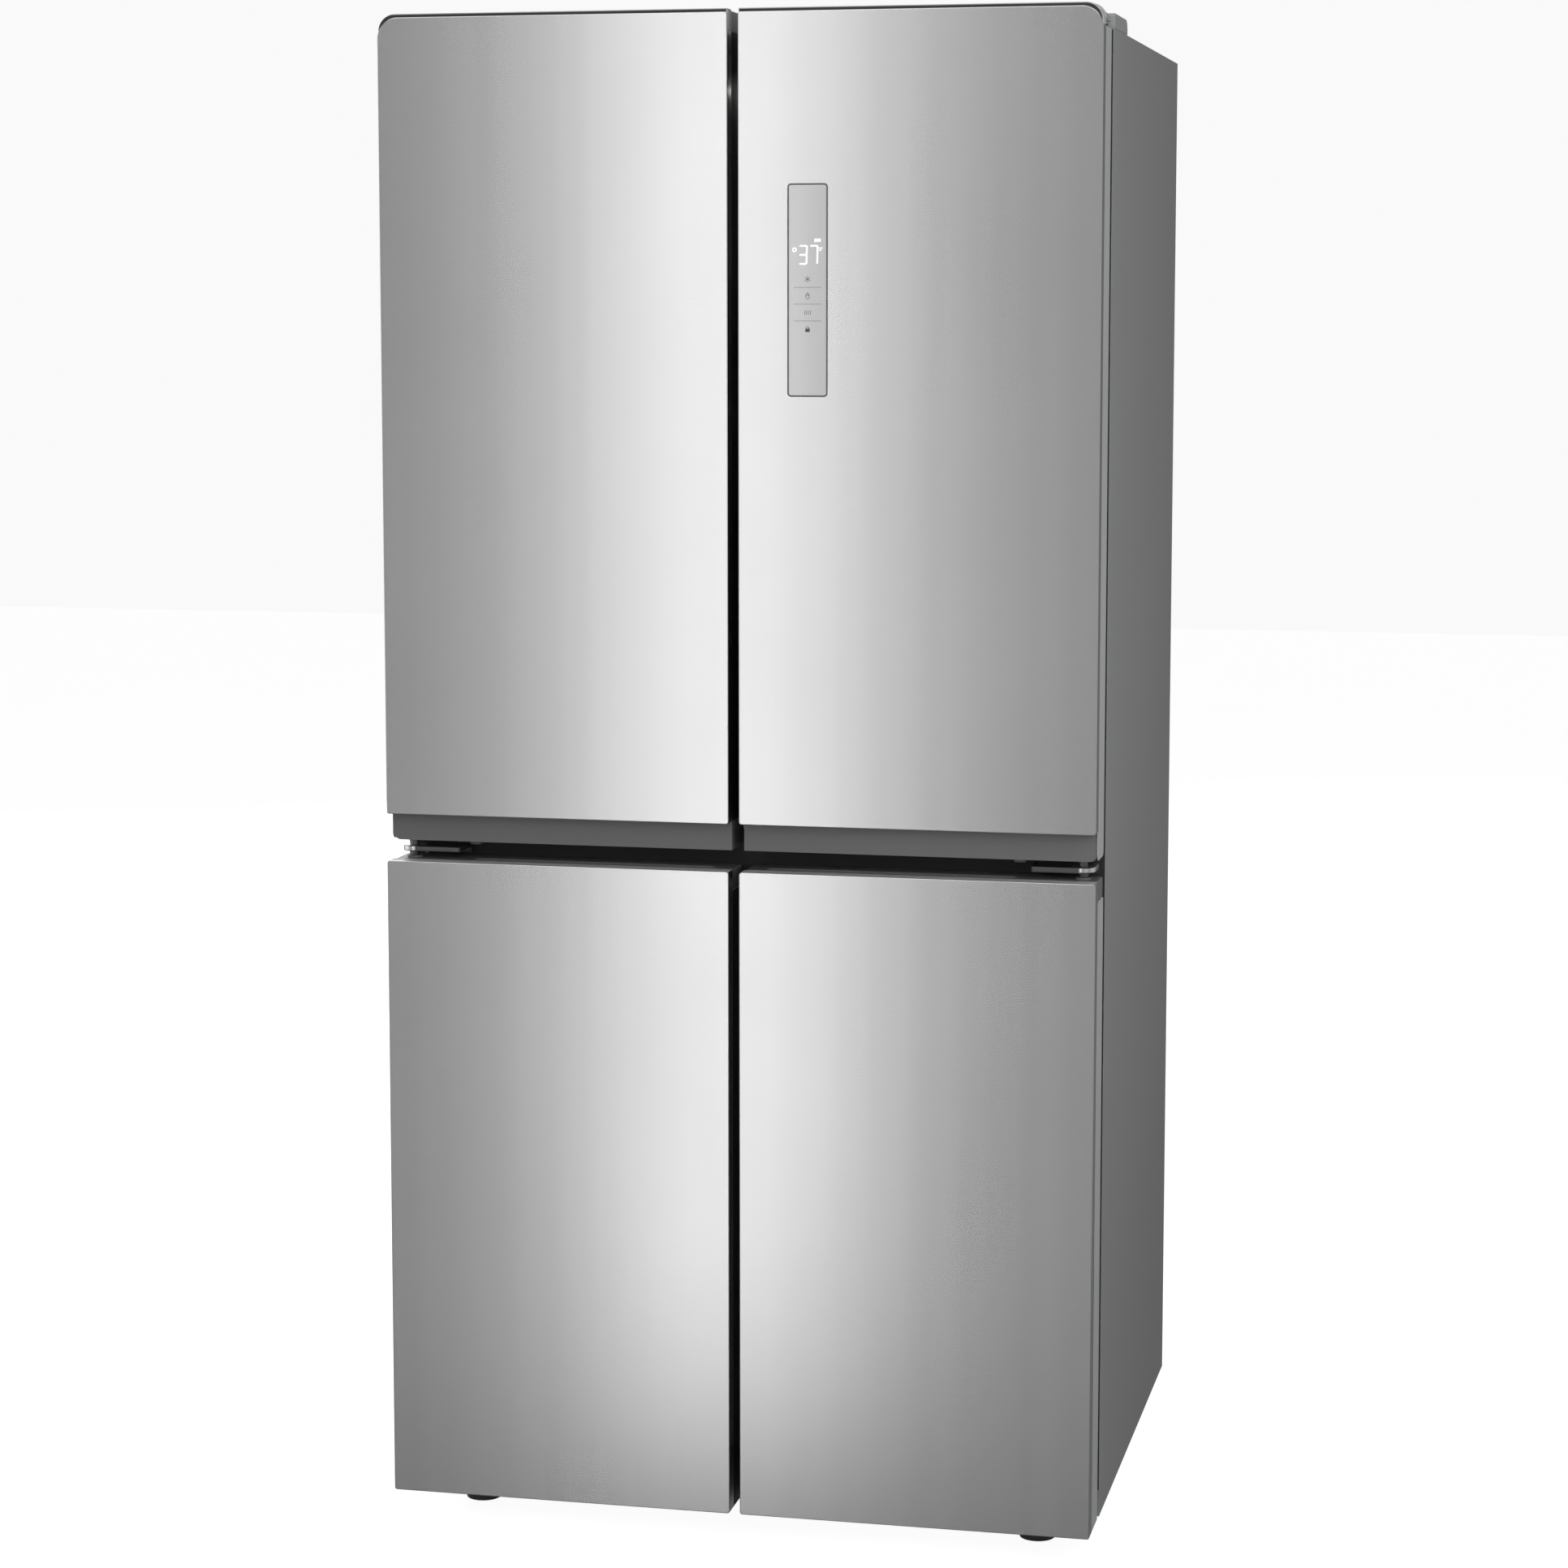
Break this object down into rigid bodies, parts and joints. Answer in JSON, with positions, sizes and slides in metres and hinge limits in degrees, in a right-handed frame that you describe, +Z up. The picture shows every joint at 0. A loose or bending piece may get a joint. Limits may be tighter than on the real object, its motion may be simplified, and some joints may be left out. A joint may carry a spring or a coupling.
{
  "type": "french door refrigerator",
  "caption": "Counter-depth four-door refrigerator: French upper doors with a folding mullion over lower freezer doors, brushed steel fronts, grey cabinet, shelves, bins and drawers.",
  "frame": {"origin": "centre of the footprint at floor level, under the feet", "axes": "+X to the right as seen from the front, +Y to the back, +Z up"},
  "size_m": [0.833, 0.71, 1.771],
  "materials": {
    "black_plastic": "black moulded",
    "brushed_steel_skin": "fine vertical brushed stainless, satin clear coat",
    "cabinet_paint": "satin grey textured enamel",
    "clear_plastic": "translucent moulded",
    "coil_fins": "mill finish",
    "compressor_shell": "black enamel",
    "display_face": "silver printed touch panel",
    "door_trim": "dark grey moulded, fine grain",
    "foam": "rigid insulation foam, hidden",
    "gasket": "soft dark magnetic gasket",
    "hinge_cover": "mid grey moulded, fine grain",
    "hinge_steel": "bright zinc plate",
    "liner_white": "glossy white thermoformed",
    "shelf_glass": "tempered clear glass",
    "zinc_sheet": "galvanised sheet, matt"
  },
  "bodies": {
    "cabinet": {"cabinet_shell": "cabinet_paint", "rear_panel": "zinc_sheet", "cabinet_foam": "foam", "fresh_liner": "liner_white", "freezer_liner": "liner_white", "centre_rail": "cabinet_paint", "freezer_divider": "liner_white", "freezer_duct_cover": "liner_white", "glass_shelf_upper": "shelf_glass", "glass_shelf_lower": "shelf_glass", "crisper_cover": "shelf_glass", "evaporator": "coil_fins", "compressor": "compressor_shell", "machine_cover": "zinc_sheet", "base_pan": "zinc_sheet", "top_hinge_left": "hinge_steel", "hinge_cover_left": "hinge_cover", "middle_hinge_left": "hinge_steel", "bottom_hinge_left": "zinc_sheet", "top_hinge_right": "hinge_steel", "hinge_cover_right": "hinge_cover", "middle_hinge_right": "hinge_steel", "bottom_hinge_right": "zinc_sheet"},
    "upper_left_door": {"upper_left_skin": "brushed_steel_skin", "upper_left_core": "liner_white", "upper_left_cap": "door_trim", "upper_left_grip": "door_trim", "upper_left_gasket": "gasket", "upper_left_bin_upper": "clear_plastic", "upper_left_bin_lower": "clear_plastic"},
    "lower_left_door": {"lower_left_skin": "brushed_steel_skin", "lower_left_core": "liner_white", "lower_left_cap": "door_trim", "lower_left_gasket": "gasket"},
    "crisper_left": {"crisper_left": "clear_plastic"},
    "freezer_drawer_left_1": {"freezer_drawer_left_1": "clear_plastic"},
    "freezer_drawer_left_2": {"freezer_drawer_left_2": "clear_plastic"},
    "freezer_drawer_left_3": {"freezer_drawer_left_3": "clear_plastic"},
    "front_foot_left": {"front_foot_left": "black_plastic"},
    "rear_roller_left": {"rear_roller_left": "black_plastic"},
    "upper_right_door": {"upper_right_skin": "brushed_steel_skin", "upper_right_core": "liner_white", "upper_right_cap": "door_trim", "upper_right_grip": "door_trim", "upper_right_gasket": "gasket", "upper_right_bin_upper": "clear_plastic", "upper_right_bin_lower": "clear_plastic", "display_panel": "display_face"},
    "lower_right_door": {"lower_right_skin": "brushed_steel_skin", "lower_right_core": "liner_white", "lower_right_cap": "door_trim", "lower_right_gasket": "gasket"},
    "crisper_right": {"crisper_right": "clear_plastic"},
    "freezer_drawer_right_1": {"freezer_drawer_right_1": "clear_plastic"},
    "freezer_drawer_right_2": {"freezer_drawer_right_2": "clear_plastic"},
    "freezer_drawer_right_3": {"freezer_drawer_right_3": "clear_plastic"},
    "front_foot_right": {"front_foot_right": "black_plastic"},
    "rear_roller_right": {"rear_roller_right": "black_plastic"},
    "mullion": {"flip_mullion": "cabinet_paint"},
    "evaporator_fan": {"evaporator_fan": "black_plastic"}
  },
  "joints": [
    {"name": "upper_left_door_swing", "type": "hinge", "parent": "cabinet", "child": "upper_left_door", "pos_m": [-0.3965, -0.31, 1.29], "axis": [0, 0, -1], "range_deg": [0, 115]},
    {"name": "lower_left_door_swing", "type": "hinge", "parent": "cabinet", "child": "lower_left_door", "pos_m": [-0.3965, -0.31, 0.42], "axis": [0, 0, -1], "range_deg": [0, 115]},
    {"name": "crisper_left_slide", "type": "slide", "parent": "cabinet", "child": "crisper_left", "axis": [0, -1, 0], "range_m": [0, 0.05]},
    {"name": "freezer_drawer_left_1_slide", "type": "slide", "parent": "cabinet", "child": "freezer_drawer_left_1", "axis": [0, -1, 0], "range_m": [0, 0.06]},
    {"name": "freezer_drawer_left_2_slide", "type": "slide", "parent": "cabinet", "child": "freezer_drawer_left_2", "axis": [0, -1, 0], "range_m": [0, 0.06]},
    {"name": "freezer_drawer_left_3_slide", "type": "slide", "parent": "cabinet", "child": "freezer_drawer_left_3", "axis": [0, -1, 0], "range_m": [0, 0.06]},
    {"name": "front_foot_left_turn", "type": "hinge", "parent": "cabinet", "child": "front_foot_left", "pos_m": [-0.34, -0.243, 0.01], "axis": [0, 0, 1], "continuous": true},
    {"name": "rear_roller_left_roll", "type": "hinge", "parent": "cabinet", "child": "rear_roller_left", "pos_m": [-0.34, 0.285, 0.0185], "axis": [1, 0, 0], "continuous": true},
    {"name": "upper_right_door_swing", "type": "hinge", "parent": "cabinet", "child": "upper_right_door", "pos_m": [0.3965, -0.31, 1.29], "axis": [0, 0, 1], "range_deg": [0, 115]},
    {"name": "lower_right_door_swing", "type": "hinge", "parent": "cabinet", "child": "lower_right_door", "pos_m": [0.3965, -0.31, 0.42], "axis": [0, 0, 1], "range_deg": [0, 115]},
    {"name": "crisper_right_slide", "type": "slide", "parent": "cabinet", "child": "crisper_right", "axis": [0, -1, 0], "range_m": [0, 0.05]},
    {"name": "freezer_drawer_right_1_slide", "type": "slide", "parent": "cabinet", "child": "freezer_drawer_right_1", "axis": [0, -1, 0], "range_m": [0, 0.06]},
    {"name": "freezer_drawer_right_2_slide", "type": "slide", "parent": "cabinet", "child": "freezer_drawer_right_2", "axis": [0, -1, 0], "range_m": [0, 0.06]},
    {"name": "freezer_drawer_right_3_slide", "type": "slide", "parent": "cabinet", "child": "freezer_drawer_right_3", "axis": [0, -1, 0], "range_m": [0, 0.06]},
    {"name": "front_foot_right_turn", "type": "hinge", "parent": "cabinet", "child": "front_foot_right", "pos_m": [0.34, -0.243, 0.01], "axis": [0, 0, 1], "continuous": true},
    {"name": "rear_roller_right_roll", "type": "hinge", "parent": "cabinet", "child": "rear_roller_right", "pos_m": [0.34, 0.285, 0.0185], "axis": [1, 0, 0], "continuous": true},
    {"name": "mullion_fold", "type": "hinge", "parent": "upper_left_door", "child": "mullion", "pos_m": [-0.031, -0.263, 1.275], "axis": [0, 0, -1], "range_deg": [0, 90]},
    {"name": "evaporator_fan_spin", "type": "hinge", "parent": "cabinet", "child": "evaporator_fan", "pos_m": [0.19, 0.229, 0.7], "axis": [0, 1, 0], "continuous": true}
  ]
}
